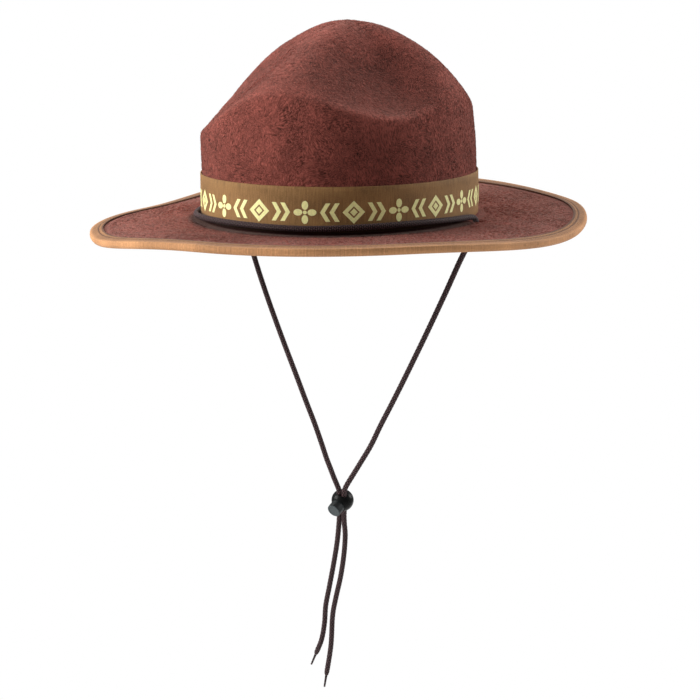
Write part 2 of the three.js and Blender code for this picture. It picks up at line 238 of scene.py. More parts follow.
def apply_modifiers(piece):
    pick(piece)
    for modifier in list(piece.modifiers):
        bpy.ops.object.modifier_apply(modifier=modifier.name)


def smooth(piece, levels):
    add_modifier(piece, "Round", "SUBSURF", levels=levels, render_levels=levels)
    apply_modifiers(piece)


def bare_copy(source, name):
    """A copy of an object with a mesh of its own, and without a parent or custom values."""
    piece = source.copy()
    piece.data = piece.data.copy()
    piece.parent = None
    for key in list(piece.keys()):
        del piece[key]
    piece.name = name
    piece.data.name = name
    bpy.context.scene.collection.objects.link(piece)
    return piece


def merged_copy(node, name):
    """A copy of a frame node with its loose triangles joined into four-sided faces."""
    piece = bare_copy(frame["nodes"][node], name)
    piece.data.materials.clear()
    piece.matrix_world = Matrix.Identity(4)
    edit_all(piece)
    bpy.ops.mesh.remove_doubles(threshold=0.005 * MM)
    bpy.ops.mesh.tris_convert_to_quads(
        face_threshold=math.radians(40), shape_threshold=math.radians(60))
    object_mode()
    return piece


def edit_all(piece, action="SELECT"):
    """Opens the piece in edit mode with everything selected, or nothing."""
    pick(piece)
    bpy.ops.object.mode_set(mode="EDIT")
    bpy.ops.mesh.select_all(action=action)


def edit_selected(piece, kind, wanted):
    """Opens the piece in edit mode with only the wanted faces, edges or points selected."""
    pick(piece)
    bpy.ops.object.mode_set(mode="EDIT")
    bpy.ops.mesh.select_mode(type=kind)
    bpy.ops.mesh.select_all(action="DESELECT")
    object_mode()
    mesh = piece.data
    for part in {"FACE": mesh.polygons, "EDGE": mesh.edges, "VERT": mesh.vertices}[kind]:
        part.select = wanted(part)
    bpy.ops.object.mode_set(mode="EDIT")


def crease_sharp_edges(piece, angle):
    """Keeps edges sharper than an angle crisp when the piece is rounded."""
    edit_all(piece, "DESELECT")
    bpy.ops.mesh.edges_select_sharp(sharpness=angle)
    bpy.ops.transform.edge_crease(value=0.85)
    object_mode()


def finish_piece(piece, material, body, angle=None):
    piece.data.materials.clear()
    piece.data.materials.append(material)
    pick(piece)
    if angle is None:
        bpy.ops.object.shade_smooth()
    else:
        bpy.ops.object.shade_smooth_by_angle(angle=angle)
    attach(piece, body)
    return piece


# Materials


class Graph:
    """Adds nodes to a tree and joins them."""

    def __init__(self, tree):
        self.tree = tree
        self.column = 0

    def add(self, kind, inputs=None, **values):
        node = self.tree.nodes.new(kind)
        node.location = (self.column * 180, -(self.column % 3) * 200)
        self.column += 1
        for key, value in values.items():
            setattr(node, key, value)
        for key, value in (inputs or {}).items():
            self.put(node.inputs[key], value)
        return node

    def put(self, socket, value):
        if isinstance(value, bpy.types.NodeSocket):
            self.tree.links.new(value, socket)
        else:
            socket.default_value = value

    def math(self, operation, a, b=0.0):
        return self.add("ShaderNodeMath", {0: a, 1: b}, operation=operation).outputs[0]

    def times(self, a, b):
        return self.math("MULTIPLY", a, b)

    def plus(self, a, b):
        return self.math("ADD", a, b)

    def less(self, a, b):
        return self.math("SUBTRACT", a, b)

    def vector(self, operation, a, b=(0, 0, 0)):
        node = self.add("ShaderNodeVectorMath", {0: a}, operation=operation)
        self.put(node.inputs["Scale" if operation == "SCALE" else 1], b)
        return node.outputs["Value" if operation in ("DOT_PRODUCT", "LENGTH") else "Vector"]

    def place(self):
        return self.add("ShaderNodeTexCoord").outputs["Object"]

    def uv(self, name):
        """A UV map, and its two directions by themselves."""
        uv = self.add("ShaderNodeUVMap", uv_map=name).outputs[0]
        parts = self.add("ShaderNodeSeparateXYZ", {0: uv})
        return uv, parts.outputs[0], parts.outputs[1]

    def swirl(self, strength, inputs):
        """Slow turns of a direction, as strong one way as the other."""
        noise = self.add("ShaderNodeTexNoise", {**inputs, "Detail": 1.0})
        centred = self.vector("SUBTRACT", noise.outputs["Color"], (0.5, 0.5, 0.5))
        return self.vector("SCALE", centred, strength)

    def noise(self, vector, scale, detail=3.0, rough=0.5, warp=0.0):
        node = self.add("ShaderNodeTexNoise", {
            "Vector": vector, "Scale": scale, "Detail": detail, "Roughness": rough,
            "Distortion": warp})
        return node.outputs["Fac"]

    def spread(self, value, low, high, to_low=0.0, to_high=1.0):
        node = self.add("ShaderNodeMapRange", {
            "Value": value, "From Min": low, "From Max": high,
            "To Min": to_low, "To Max": to_high}, interpolation_type="SMOOTHSTEP")
        return node.outputs["Result"]

    def mix(self, factor, a, b, blend="MIX"):
        node = self.add("ShaderNodeMix", data_type="RGBA", blend_type=blend)
        self.put(node.inputs["Factor"], factor)
        self.put(node.inputs[6], a)
        self.put(node.inputs[7], b)
        return node.outputs[2]

    def stretched(self, vector, turn, scale):
        node = self.add("ShaderNodeMapping", {
            "Vector": vector, "Rotation": turn, "Scale": scale})
        return node.outputs["Vector"]


def new_group(name, inputs, outputs):
    tree = bpy.data.node_groups.new(name, "ShaderNodeTree")
    for label, kind, value in inputs:
        socket = tree.interface.new_socket(name=label, in_out="INPUT", socket_type=kind)
        if value is not None:
            socket.default_value = value
    for label, kind in outputs:
        tree.interface.new_socket(name=label, in_out="OUTPUT", socket_type=kind)
    graph = Graph(tree)
    return tree, graph, graph.add("NodeGroupInput"), graph.add("NodeGroupOutput")


def new_material(name):
    material = bpy.data.materials.new(name)
    material.use_nodes = True
    graph = Graph(material.node_tree)
    return material, graph, material.node_tree.nodes["Principled BSDF"]


def set_inputs(shader, values):
    """Sets values that are the same all over a surface on the shader's own sockets."""
    for key, value in values.items():
        shader.inputs[key].default_value = value


def use_group(graph, tree, inputs):
    node = graph.add("ShaderNodeGroup")
    node.node_tree = tree
    for key, value in inputs.items():
        graph.put(node.inputs[key], value)
    return node


def rgba(colour, gain=1.0):
    return (colour[0] * gain, colour[1] * gain, colour[2] * gain, 1.0)


def felt_group():
    """Matted fibres: lengthwise streaks in three directions, mottling and their height."""
    tree, graph, source, result = new_group(
        "Matted fibres",
        [("Vector", "NodeSocketVector", None), ("Colour", "NodeSocketColor", (1, 1, 1, 1)),
         ("Streaks", "NodeSocketFloat", 0.5), ("Mottling", "NodeSocketFloat", 0.3)],
        [("Colour", "NodeSocketColor"), ("Height", "NodeSocketFloat")])
    place = source.outputs["Vector"]
    curled = graph.vector("ADD", place, graph.swirl(0.03, {"Vector": place, "Scale": 28.0}))
    lays = [
        graph.noise(graph.stretched(curled, turn, scale), 1.0, 2.0, 0.55)
        for turn, scale in (
            ((0.3, 0.2, 0.6), (420, 1700, 1700)),
            ((0.9, 0.5, -0.7), (1600, 400, 1600)),
            ((0.4, 0.8, 1.9), (1500, 1500, 380)),
        )
    ]
    choice = graph.spread(graph.noise(place, 75.0, 2.0), 0.42, 0.58)
    other = graph.spread(graph.noise(place, 61.0, 2.0, 0.5, 0.4), 0.44, 0.6)
    first = graph.mix(choice, lays[0], lays[1])
    streak = graph.spread(graph.mix(other, first, lays[2]), 0.3, 0.7)
    mottle = graph.spread(graph.noise(place, 60.0, 4.0, 0.6), 0.3, 0.72, -1.0, 1.0)
    clump = graph.spread(graph.noise(place, 330.0, 2.0, 0.6), 0.3, 0.7, -1.0, 1.0)
    gain = graph.times(graph.less(streak, 0.5), source.outputs["Streaks"])
    patches = graph.times(mottle, source.outputs["Mottling"])
    tufts = graph.times(clump, graph.times(source.outputs["Mottling"], 0.8))
    total = graph.plus(graph.plus(graph.plus(gain, patches), tufts), 1.0)
    graph.put(result.inputs["Colour"], graph.vector("SCALE", source.outputs["Colour"], total))
    graph.put(result.inputs["Height"], graph.plus(streak, graph.times(clump, 0.5)))
    return tree


def ribbon_group():
    """Ribs across a ribbon, from its own UV map in millimetres: along it and across it."""
    tree, graph, source, result = new_group(
        "Ribbon ribs",
        [("Colour", "NodeSocketColor", (1, 1, 1, 1)), ("Pitch", "NodeSocketFloat", 0.75),
         ("Contrast", "NodeSocketFloat", 0.2)],
        [("Colour", "NodeSocketColor"), ("Height", "NodeSocketFloat")])
    uv, along, across = graph.uv("ribbon")
    turns = graph.math("DIVIDE", graph.times(along, 2 * math.pi), source.outputs["Pitch"])
    wave = graph.times(graph.math("SINE", turns), 0.5)
    rib = graph.plus(wave, 0.5)
    thread = graph.noise(graph.stretched(uv, (0, 0, 0), (0.9, 3.2, 1)), 1.0, 3.0)
    slub = graph.noise(graph.stretched(uv, (0, 0, 0), (1.4, 0.12, 1)), 1.0, 2.0)
    wear = graph.noise(graph.stretched(uv, (0, 0, 0), (0.03, 0.08, 1)), 1.0, 2.0)
    weft = graph.math("SINE", graph.times(across, 2 * math.pi / 0.32))
    light = graph.plus(graph.times(graph.less(rib, 0.5), 0.55),
                       graph.less(slub, 0.5))
    light = graph.plus(light, graph.less(thread, 0.5))
    light = graph.plus(light, graph.times(graph.less(wear, 0.5), 1.2))
    gain = graph.plus(graph.times(light, source.outputs["Contrast"]), 1.0)
    graph.put(result.inputs["Colour"], graph.vector("SCALE", source.outputs["Colour"], gain))
    height = graph.plus(rib, graph.times(weft, 0.12))
    graph.put(result.inputs["Height"], graph.plus(height, graph.times(thread, 0.25)))
    return tree


def foot_shade_group():
    """Painted shade in the crease below the front cord: one mask on the brim's side of the
    crease and one on the band. A third mask, for a painted sheen, grows over the brim
    towards its edge."""
    tree, graph, _, result = new_group(
        "Crease shade", [], [("Brim", "NodeSocketFloat"), ("Band", "NodeSocketFloat"),
                             ("Sheen bloom", "NodeSocketFloat")])
    place = graph.place()
    parts = graph.add("ShaderNodeSeparateXYZ", {0: place})
    front = graph.spread(parts.outputs[1], -4 * MM, 18 * MM, 1.0, 0.0)
    half = box_size("hat_band") / 2
    shares = graph.vector("MULTIPLY", place, (1 / half.x, 1 / half.y, 0))
    off = graph.times(graph.less(graph.vector("LENGTH", shares), 1.0), half.y)
    near = graph.spread(off, 5 * MM, 13 * MM, 1.0, 0.0)
    outside = graph.spread(off, -4 * MM, -2 * MM)
    flat = graph.spread(parts.outputs[2], 7 * MM, 11 * MM, 1.0, 0.0)
    around = graph.times(graph.times(outside, front), flat)
    graph.put(result.inputs["Brim"], graph.times(graph.times(near, near), around))
    low = graph.spread(parts.outputs[2], 6.2 * MM, 8.4 * MM, 1.0, 0.0)
    graph.put(result.inputs["Band"], graph.times(low, front))
    graph.put(result.inputs["Sheen bloom"], graph.spread(off, 14 * MM, 60 * MM))
    return tree


def shaded(graph, colour, mask, strength):
    """The colour, darkened with painted shade where the mask is white."""
    return graph.mix(graph.times(mask, strength), colour, (0.012, 0.004, 0.004, 1))


def felt_painted_light(graph, colour):
    """Felt with painted shade in its crease and a painted sheen that grows paler towards the outer
    brim.
    """
    crease = use_group(graph, bpy.data.node_groups["Crease shade"], {})
    # Painted sheen: towards the brim's edge the colour is mixed a little towards the sheen colour.
    pale = graph.mix(graph.times(crease.outputs["Sheen bloom"], 0.05), colour,
                     rgba(settings().hat_felt.bloom))
    return shaded(graph, pale, crease.outputs["Brim"], 0.93)


def bump(graph, height, distance, strength):
    node = graph.add("ShaderNodeBump", {
        "Height": height, "Distance": distance, "Strength": strength})
    return node.outputs["Normal"]


def felt_material(group):
    felt = settings().hat_felt
    material, graph, shader = new_material("brown felt")
    place = graph.place()
    fibres = use_group(graph, group, {
        "Vector": place, "Colour": rgba(felt.colour), "Streaks": 1.25, "Mottling": 0.2})
    # Painted highlight on the ridges and painted shade in the hollows, from the stored ridge
    # height.
    ridge = graph.add("ShaderNodeAttribute", attribute_name="ridge").outputs["Fac"]
    raised, sunk = graph.times(ridge, 0.42), graph.times(ridge, 0.06)
    gain = graph.plus(graph.math("MAXIMUM", raised, sunk), 1.0)
    painted_light_colour = graph.vector("SCALE", fibres.outputs["Colour"], gain)
    graph.put(shader.inputs["Base Color"], felt_painted_light(graph, painted_light_colour))
    graph.put(shader.inputs["Normal"], bump(graph, fibres.outputs["Height"], 0.35 * MM, 0.45))
    set_inputs(shader, {
        "Roughness": 0.95, "Specular IOR Level": 0.04, "Sheen Weight": 0.16,
        "Sheen Roughness": 0.5, "Sheen Tint": rgba(felt.bloom)})
    return material


def nap_material():
    felt = settings().hat_felt
    material, graph, shader = new_material("felt nap")
    place = graph.place()
    shade = graph.spread(graph.noise(place, 700.0, 2.0), 0.3, 0.7)
    colour = graph.mix(shade, rgba(felt.colour, 0.6), rgba(felt.colour, 2.6))
    graph.put(shader.inputs["Base Color"], felt_painted_light(graph, colour))
    set_inputs(shader, {
        "Roughness": 0.85, "Specular IOR Level": 0.05,
        "Sheen Weight": 0.16, "Sheen Tint": rgba(felt.bloom)})
    return material


def binding_painted_light(graph, colour):
    """The binding's colour, with painted shade in the sewn groove and along the inner edge,
    and a painted highlight on the fold."""
    ribbon = settings().hat_ribbon
    _, _, inward = graph.uv("ribbon")
    place = graph.place()
    sway = graph.times(graph.less(graph.noise(place, 90.0, 2.0), 0.5), 0.9)
    across = graph.plus(inward, sway)
    sewn = (ribbon.binding_width - ribbon.stitch_inset) / MM
    off = graph.math("ABSOLUTE", graph.less(across, sewn))
    # Painted shade in the sewn groove and along the inner edge, and a painted highlight on the
    # fold.
    groove = graph.spread(off, 0.2, 0.75, 0.62, 0.0)
    width = ribbon.binding_width / MM
    edge = graph.spread(across, width - 0.5, width, 0.0, 0.7)
    mask = graph.math("MAXIMUM", groove, edge)
    light = graph.mix(1.0, colour, (1.9, 1.95, 2.0, 1), "MULTIPLY")
    painted_light_colour = graph.mix(graph.spread(across, 0.3, 3.2, 0.95, 0.0), colour, light)
    return graph.mix(mask, painted_light_colour, (0.05, 0.014, 0.01, 1))


def foot_shade(graph, colour):
    """The band's colour, with painted shade in the crease at its foot."""
    crease = use_group(graph, bpy.data.node_groups["Crease shade"], {})
    return shaded(graph, colour, crease.outputs["Band"], 0.92)


def ribbon_material(name, paint_light, colour, contrast, roughness, depth):
    material, graph, shader = new_material(name)
    ribs = use_group(graph, bpy.data.node_groups["Ribbon ribs"], {
        "Colour": rgba(colour), "Pitch": settings().hat_ribbon.rib_pitch / MM,
        "Contrast": contrast})
    # The function passed in lays each ribbon's painted shade and highlights over its colour.
    graph.put(shader.inputs["Base Color"], paint_light(graph, ribs.outputs["Colour"]))
    graph.put(shader.inputs["Normal"], bump(graph, ribs.outputs["Height"], depth, 0.6))
    set_inputs(shader, {
        "Roughness": roughness, "Specular IOR Level": 0.16,
        "Sheen Weight": 0.04, "Sheen Roughness": 0.4})
    return material


def cord_material():
    cord = settings().hat_cord
    material, graph, shader = new_material("braided cord")
    _, along, around = graph.uv("yarn")
    twist = graph.plus(graph.times(along, 2.4), graph.times(around, 6.0))
    filament = graph.math("SINE", graph.times(twist, 2 * math.pi))
    place = graph.place()
    patch = graph.spread(graph.noise(place, 400.0, 3.0, 0.6), 0.35, 0.7)
    colour = graph.mix(patch, rgba(cord.colour, 0.6), rgba(cord.colour, 1.5))
    ridged = graph.mix(graph.spread(filament, -1.0, 1.0), rgba(cord.colour, 0.5), colour)
    rounds = graph.times(along, 2 * math.pi * cord.carriers * MM / cord.pitch)
    other_way = graph.math("GREATER_THAN", around, 1.5)
    phase = graph.plus(rounds, graph.times(other_way, math.pi))
    # Painted highlights: the middle of each yarn's over-float is made eight times lighter.
    over = graph.spread(graph.math("COSINE", phase), 0.55, 1.0)
    crown_highlights = graph.mix(over, ridged, rgba(cord.colour, 8.0))
    graph.put(shader.inputs["Base Color"], crown_highlights)
    graph.put(shader.inputs["Normal"], bump(graph, filament, 0.05 * MM, 0.5))
    set_inputs(shader, {"Roughness": 0.6, "Specular IOR Level": 0.2, "Sheen Weight": 0.04})
    return material


def lit_face_mask(graph, place, at, axis, reach):
    """White on the plunger's face, black on its side: the mask for the painted shade on the side.
    """
    along = graph.vector("DOT_PRODUCT", graph.vector("SUBTRACT", place, tuple(at)), tuple(axis))
    return graph.spread(along, reach - 0.5 * MM, reach - 0.2 * MM)


def plunger_material(colour):
    """Grey plastic with painted shade on its side and a lighter, scuffed face."""
    lock = settings().hat_lock
    material, graph, shader = new_material("grey plastic")
    place = graph.place()
    matrix = lock_place()
    painted_lit_face = lit_face_mask(graph, place, matrix.translation, matrix.col[1].to_3d(), lock.plunger_reach)
    scuff = graph.spread(graph.noise(place, 1100.0, 4.0, 0.65), 0.3, 0.7)
    face = graph.mix(scuff, rgba(colour, 0.7), rgba(colour, 1.35))
    # Painted shade: the plunger's side keeps only a third of the colour.
    graph.put(shader.inputs["Base Color"], graph.mix(painted_lit_face, rgba(colour, 0.3), face))
    graph.put(shader.inputs["Normal"], bump(graph, graph.noise(place, 2600.0, 2.0), 0.05 * MM, 0.4))
    set_inputs(shader, {"Roughness": 0.5, "Specular IOR Level": 0.2})
    return material


def plastic_material(name, colour, roughness, grain, shine):
    material, graph, shader = new_material(name)
    place = graph.place()
    scuff = graph.spread(graph.noise(place, 900.0, 4.0, 0.65), 0.35, 0.75)
    graph.put(shader.inputs["Base Color"], graph.mix(scuff, rgba(colour, 0.85), rgba(colour, 1.3)))
    worn = roughness + 0.18
    graph.put(shader.inputs["Roughness"], graph.spread(scuff, 0.0, 1.0, roughness, worn))
    fine = graph.noise(place, 2600.0, 2.0)
    graph.put(shader.inputs["Normal"], bump(graph, fine, grain, 0.4))
    shader.inputs["Specular IOR Level"].default_value = shine
    return material


def print_material():
    ribbon = settings().hat_ribbon
    material, graph, shader = new_material("yellow ink")
    place = graph.place()
    patch = graph.spread(graph.noise(place, 900.0, 3.0, 0.6), 0.3, 0.7)
    graph.put(shader.inputs["Base Color"], graph.mix(
        patch, rgba(ribbon.print_colour, 0.9), rgba(ribbon.print_colour, 1.05)))
    graph.put(shader.inputs["Normal"], bump(graph, graph.noise(place, 1800.0, 2.0), 0.05 * MM, 0.4))
    shader.inputs["Roughness"].default_value = 0.55
    return material


# Braided cord


def spline(points, steps):
    """Points along one smooth curve through the route."""
    line = []
    last = len(points) - 1
    for index in range(last):
        before = points[max(index - 1, 0)]
        start, end = points[index], points[index + 1]
        after = points[min(index + 2, last)]
        for step in range(steps):
            t = step / steps
            line.append(0.5 * (
                2 * start + (end - before) * t
                + (2 * before - 5 * start + 4 * end - after) * t * t
                + (3 * start - before - 3 * end + after) * t ** 3))
    line.append(points[last])
    return line


def even_path(route, step):
    """The route's curve with points an even step apart, and its length."""
    line = spline([Vector(point) for point in route], 24)
    lengths = [0.0]
    for a, b in zip(line, line[1:]):
        lengths.append(lengths[-1] + (b - a).length)
    total = lengths[-1]
    count = max(2, round(total / step))
    path = []
    index = 0
    for number in range(count + 1):
        wanted = total * number / count
        while index < len(line) - 2 and lengths[index + 1] < wanted:
            index += 1
        share = (wanted - lengths[index]) / (lengths[index + 1] - lengths[index])
        path.append(line[index].lerp(line[index + 1], share))
    return path, total


def side_frames(path):
    """A direction along the path and two across it at each point, without twist."""
    frames = []
    across = None
    for index, point in enumerate(path):
        ahead = path[min(index + 1, len(path) - 1)]
        behind = path[max(index - 1, 0)]
        along = (ahead - behind).normalized()
        if across is None:
            across = along.orthogonal().normalized()
        across = (across - along * across.dot(along)).normalized()
        frames.append((along, across, along.cross(across)))
    return frames


class TubeMesh:
    """Collects closed tubes with a UV map of length and turn; the yarns that go round
    the other way have two turns added."""

    def __init__(self):
        self.verts = []
        self.faces = []
        self.uvs = []

    def add(self, rings, lengths, turn=0.0):
        first = len(self.verts)
        sides = len(rings[0])
        for ring in rings:
            self.verts.extend(ring)
        for level in range(len(rings) - 1):
            for side in range(sides):
                after = (side + 1) % sides
                low = first + level * sides
                high = low + sides
                self.faces.append((low + side, low + after, high + after, high + side))
                near_turn, far_turn = turn + side / sides, turn + (side + 1) / sides
                self.uvs.extend([
                    (lengths[level] / MM, near_turn),
                    (lengths[level] / MM, far_turn),
                    (lengths[level + 1] / MM, far_turn),
                    (lengths[level + 1] / MM, near_turn)])
        last = first + (len(rings) - 1) * sides
        self.faces.append(tuple(first + side for side in reversed(range(sides))))
        self.faces.append(tuple(last + side for side in range(sides)))
        self.uvs.extend([(lengths[0] / MM, 0.0)] * sides)
        self.uvs.extend([(lengths[-1] / MM, 0.0)] * sides)

    def build(self, name):
        piece = add_mesh(name, self.verts, self.faces)
        layer = piece.data.uv_layers.new(name="yarn")
        layer.data.foreach_set("uv", [value for uv in self.uvs for value in uv])
        return piece


def ring_round(centre, across, other, half_width, half_height, sides):
    return [
        centre + across * (half_width * math.cos(2 * math.pi * side / sides))
        + other * (half_height * math.sin(2 * math.pi * side / sides))
        for side in range(sides)
    ]


CROWNS = 1.15  # how far the yarns' crowns stand past the cord's measured size
YARN_SIDES = 6
YARN_STEP = 0.8 * MM
CORE_SIDES = 10
TIP_SIDES = 18
TIP_STEPS = 26
SHOULDER = 4.5 * MM  # length over which a cord's end narrows to its tip


def braid(name, route, tipped):
    """A round braid of yarns that pass over and under each other, on a dark core."""
    cord = settings().hat_cord
    path, length = even_path(route, YARN_STEP)
    frames = side_frames(path)
    radius = cord.diameter / 2 * CROWNS
    yarn_height = 0.16 * radius
    weave = 0.09 * radius
    middle = radius - yarn_height - weave
    lay = math.atan2(2 * math.pi * middle, cord.pitch)
    yarn_width = math.pi * middle / cord.carriers * math.cos(lay) * 0.97
    step = length / (len(path) - 1)
    lengths = [step * index for index in range(len(path))]

    def narrowing(at):
        if not tipped or at < length - SHOULDER:
            return 1.0
        share = (at - length + SHOULDER) / SHOULDER
        return 0.42 + 0.58 * math.sqrt(max(0.0, 1 - share * share))

    tubes = TubeMesh()
    core = [
        ring_round(point, frames[i][1], frames[i][2], *[middle * 0.97 * narrowing(lengths[i])] * 2,
                   CORE_SIDES)
        for i, point in enumerate(path)
    ]
    tubes.add(core, lengths)
    for way in (1, -1):
        for carrier in range(cord.carriers):
            centres = []
            outs = []
            for i, point in enumerate(path):
                turn = way * 2 * math.pi * lengths[i] / cord.pitch
                angle = turn + 2 * math.pi * carrier / cord.carriers
                wave = math.cos(2 * math.pi * cord.carriers * lengths[i] / cord.pitch)
                reach = (middle + way * weave * wave) * narrowing(lengths[i])
                out = frames[i][1] * math.cos(angle) + frames[i][2] * math.sin(angle)
                outs.append(out)
                centres.append(point + out * reach)
            rings = []
            for i, centre in enumerate(centres):
                ahead = centres[min(i + 1, len(centres) - 1)] - centres[max(i - 1, 0)]
                wide = outs[i].cross(ahead).normalized()
                slim = narrowing(lengths[i])
                rings.append(ring_round(
                    centre, wide, outs[i], yarn_width * slim, yarn_height, YARN_SIDES))
            tubes.add(rings, lengths, 1.0 - way)
    return tubes.build(name), path, length


def sealed_tip(name, path):
    """The thin melted end that stands out of a cord."""
    cord = settings().hat_cord
    along, across, other = side_frames(path)[-1]
    rings = []
    lengths = []
    for index in range(TIP_STEPS + 1):
        share = index / TIP_STEPS
        at = cord.tip_length * (1.15 * share - 0.15)
        wobble = 1 + 0.07 * math.sin(index * 1.3)
        half = cord.tip_diameter / 2 * (1 - 0.3 * share) * wobble
        rings.append(ring_round(path[-1] + along * at, across, other, half, half * 0.9, TIP_SIDES))
        lengths.append(at)
    tubes = TubeMesh()
    tubes.add(rings, lengths)
    return tubes.build(name)


class HAT_OT_chin_cord(bpy.types.Operator):
    """Braids the cord over the brim and its two hanging strands"""
    bl_idname = "hat.chin_cord"
    bl_label = "Chin cord"

    def execute(self, context):
        material = cord_material()
        lock = [bpy.data.objects["cord_lock_ball"], bpy.data.objects["cord_lock_plunger"]]
        rows = (
            ("braided_cord_front", FRONT_ROUTE, "chin_cord_front", "", "object", "loose", []),
            ("braided_cord_left", LEFT_ROUTE, "chin_cord_left", "cord_tip_left", "bare",
             "hanging", lock),
            ("braided_cord_right", RIGHT_ROUTE, "chin_cord_right", "cord_tip_right", "bare",
             "hanging", []),
        )
        for name, route, node, tip, far_end, lay, carried in rows:
            piece, path, length = braid(name, route, bool(tip))
            finish_piece(piece, material, "hat")
            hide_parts(node)
            if tip:
                end = sealed_tip(tip, path)
                finish_piece(end, material, "hat")
                carried = carried + [end]
        return {"FINISHED"}


# Cord lock


STRAND_OFFSET = 1 * MM  # from the ball's middle to the strands, along the plunger
STRAND_SPREAD = 0.56  # from the ball's middle to a strand's, as a share of the cord
END_BAR = 1.25 * MM  # plastic between the plunger's slot and its inner end


def lock_place():
    """Turns and moves lock parts: the plunger looks along +Y and the strands run along +Z."""
    outward = -Vector(frame["joints"][0]["axis"]).normalized()
    top, bottom = Vector(RIGHT_ROUTE[STEPS_BEFORE_LOCK]), Vector(RIGHT_ROUTE[STEPS_BEFORE_LOCK + 1])
    strands = (top - bottom).normalized()
    side = outward.cross(strands).normalized()
    strands = side.cross(outward)
    turn = Matrix((side, outward, strands)).transposed().to_4x4()
    centre = box_middle("lock_ball")
    centre.y = Vector(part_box("lock_ball")[1]).y - settings().hat_lock.diameter / 2
    return Matrix.Translation(centre) @ turn


def cut(piece, cutter):
    add_modifier(piece, "Cut", "BOOLEAN", operation="DIFFERENCE", solver="EXACT", object=cutter)
    apply_modifiers(piece)


def slot_cutter(low, high):
    """A bar with round corners along the strands, from low to high along the plunger."""
    lock = settings().hat_lock
    cord = settings().hat_cord
    reach = cord.diameter / 2 + lock.clearance
    half = cord.diameter * STRAND_SPREAD + reach
    bpy.ops.mesh.primitive_cube_add(size=1)
    bar = added("slot cutter")
    bar.scale = (2 * half, high - low, 3 * lock.diameter)
    bar.location = (0, (low + high) / 2, 0)
    apply_place(bar)
    corners = bar.data.vertices

    def is_long(edge):
        a, b = edge.vertices
        return abs(corners[a].co.z - corners[b].co.z) > lock.diameter

    edit_selected(bar, "EDGE", is_long)
    bpy.ops.mesh.bevel(offset=reach * 0.99, segments=8)
    object_mode()
    return bar


def round_lock_edges(piece, width):
    add_modifier(piece, "Soft edges", "BEVEL", width=width, segments=3,
                 limit_method="ANGLE", angle_limit=math.radians(38))
    apply_modifiers(piece)


class HAT_OT_cord_lock(bpy.types.Operator):
    """Makes the lock's ball and its sprung plunger"""
    bl_idname = "hat.cord_lock"
    bl_label = "Cord lock"

    def execute(self, context):
        lock = context.scene.hat_lock
        cord = context.scene.hat_cord
        radius = lock.diameter / 2
        strand = cord.diameter / 2 + lock.clearance
        travel = frame["joints"][0]["range_m"][1]
        inner, outer = STRAND_OFFSET - strand, STRAND_OFFSET + strand
        end = inner - END_BAR
        bpy.ops.mesh.primitive_uv_sphere_add(segments=80, ring_count=48, radius=radius)
        ball = added("cord_lock_ball")
        bore_radius = lock.plunger_diameter / 2 + lock.clearance
        bore_low = end - travel - lock.clearance
        bpy.ops.mesh.primitive_cylinder_add(
            vertices=72, radius=bore_radius, depth=2 * radius,
            location=(0, bore_low + radius, 0), rotation=(math.pi / 2, 0, 0))
        bore = added("bore cutter")
        apply_place(bore)
        slot = slot_cutter(inner, outer)
        cut(ball, bore)
        cut(ball, slot)
        round_lock_edges(ball, 0.22 * MM)

        bpy.ops.mesh.primitive_cylinder_add(
            vertices=72, radius=lock.plunger_diameter / 2, depth=lock.plunger_reach - end,
            location=(0, (lock.plunger_reach + end) / 2, 0), rotation=(math.pi / 2, 0, 0))
        plunger = added("cord_lock_plunger")
        apply_place(plunger)
        edit_selected(plunger, "FACE", lambda face: face.normal.y > 0.9)
        bpy.ops.mesh.bevel(offset=0.55 * MM, segments=4)
        object_mode()
        edit_selected(plunger, "FACE", lambda face: face.normal.y > 0.99)
        bpy.ops.mesh.inset(thickness=0.5 * MM, depth=0)
        bpy.ops.mesh.inset(thickness=0.35 * MM, depth=-0.22 * MM)
        object_mode()
        wide = slot_cutter(inner, outer + travel)
        cut(plunger, wide)
        round_lock_edges(plunger, 0.12 * MM)

        place = lock_place()
        for piece, node, body, material in (
            (ball, "lock_ball", "hat",
             plastic_material("black plastic", lock.black, 0.3, 0.02 * MM, 0.1)),
            (plunger, "lock_plunger", "plunger", plunger_material(lock.grey)),
        ):
            piece.data.transform(place)
            finish_piece(piece, material, body, math.radians(32))
            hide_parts(node)
        for cutter in (bore, slot, wide):
            bpy.data.objects.remove(cutter)
        return {"FINISHED"}


# Felt


def lump_weights(piece):
    """Full weight on open felt, none under the band and the binding."""
    band_low, band_high = (corner[2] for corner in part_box("hat_band"))
    half = box_size("brim_binding") / 2
    group = piece.vertex_groups.new(name="lumps")
    fade = 8 * MM
    band_half = box_size("hat_band") / 2
    for vertex in piece.data.vertices:
        point = vertex.co
        edge = (1 - math.hypot(point.x / half.x, point.y / half.y)) * half.x - 9 * MM
        weight = max(0.0, min(1.0, edge / fade))
        near_band = math.hypot(point.x / band_half.x, point.y / band_half.y) < 1.1
        if near_band:
            above = max(0.0, min(1.0, (point.z - band_high) / fade))
            weight = min(weight, above)
        if weight > 0:
            group.add([vertex.index], weight, "REPLACE")


def mark_ridges(piece):
    """Stores how far each point stands out of the softened form, from which the felt's
    material paints highlights on the ridges and shade in the hollows."""
    soft = piece.copy()
    soft.data = piece.data.copy()
    bpy.context.scene.collection.objects.link(soft)
    add_modifier(soft, "Soft", "SMOOTH", factor=0.5, iterations=90)
    apply_modifiers(soft)
    full = 0.7 * MM
    layer = piece.data.attributes.new("ridge", "FLOAT", "POINT")
    normals = [vertex.normal.copy() for vertex in piece.data.vertices]
    layer.data.foreach_set("value", [
        max(-1.0, min(1.0, (a.co - b.co).dot(normal) / full))
        for a, b, normal in zip(piece.data.vertices, soft.data.vertices, normals)])
    bpy.data.objects.remove(soft)


